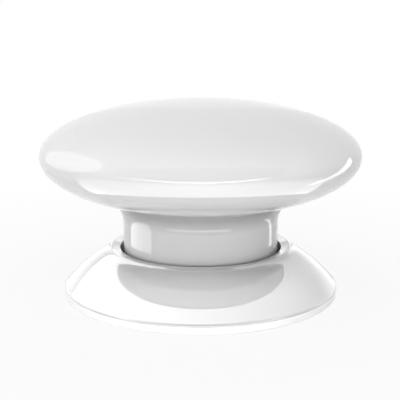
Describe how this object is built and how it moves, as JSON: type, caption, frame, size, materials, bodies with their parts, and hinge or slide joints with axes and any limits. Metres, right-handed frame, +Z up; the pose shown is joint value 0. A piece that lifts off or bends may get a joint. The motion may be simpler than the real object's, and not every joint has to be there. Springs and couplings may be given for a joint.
{
  "type": "smart button",
  "caption": "Battery-powered wireless push button: a lens-shaped cap on a round neck that presses down into a flared base and twists off for the battery.",
  "frame": {"origin": "centre of the base's underside", "axes": "+Z up along the axis of cap, neck and base; +X towards the push switch under the board"},
  "size_m": [0.046, 0.046, 0.0282],
  "materials": {
    "white_gloss": "polished white plastic",
    "white_matte": "plain moulded white plastic",
    "grey_plastic": "fine satin grey plastic",
    "black_plastic": "satin black plastic",
    "foam_pad": "closed-cell adhesive foam",
    "board": "green solder mask",
    "steel": "bright zinc-plated steel",
    "spring_steel": "drawn spring wire",
    "nickel": "nickel plate",
    "copper": "gold-flashed copper wire",
    "tantalum_yellow": "moulded yellow resin",
    "led_white": "white case with a clear lens"
  },
  "bodies": {
    "base": {"base_shell": "white_gloss", "base_plate": "white_gloss", "adhesive_pad": "foam_pad", "bayonet_ring": "white_matte", "base_screws": "steel"},
    "slider": {"slider_sleeve": "grey_plastic", "return_spring": "spring_steel"},
    "button": {"cap_shell": "white_gloss", "neck_sleeve": "white_gloss", "chassis": "grey_plastic", "cap_screws": "steel", "battery": "nickel", "battery_contact_foot": "nickel", "battery_contact_top": "nickel", "main_board": "board", "radio_module": "nickel", "control_chip": "black_plastic", "crystal": "nickel", "antenna": "copper", "status_led": "led_white", "buzzer": "black_plastic", "reservoir_capacitor": "tantalum_yellow", "switch_body": "black_plastic"},
    "battery_door": {"battery_door": "white_matte"},
    "switch_plunger": {"switch_plunger": "white_matte"}
  },
  "joints": [
    {"name": "twist_lock", "type": "hinge", "parent": "base", "child": "slider", "pos_m": [0, 0, 0], "axis": [0, 0, 1], "range_deg": [0, 25]},
    {"name": "press", "type": "slide", "parent": "slider", "child": "button", "axis": [0, 0, 1], "range_m": [-0.001, 0], "stiffness_N_per_m": 900, "springref_m": 0.003, "deforming": ["return_spring"]},
    {"name": "plunger_travel", "type": "slide", "parent": "button", "child": "switch_plunger", "axis": [0, 0, 1], "range_m": [0, 0.001]},
    {"name": "battery_door_turn", "type": "hinge", "parent": "button", "child": "battery_door", "pos_m": [0, 0, 0], "axis": [0, 0, 1], "range_deg": [0, 60]}
  ],
  "couplings": [
    {"joint": "plunger_travel", "follows": "press", "ratio": -1}
  ]
}
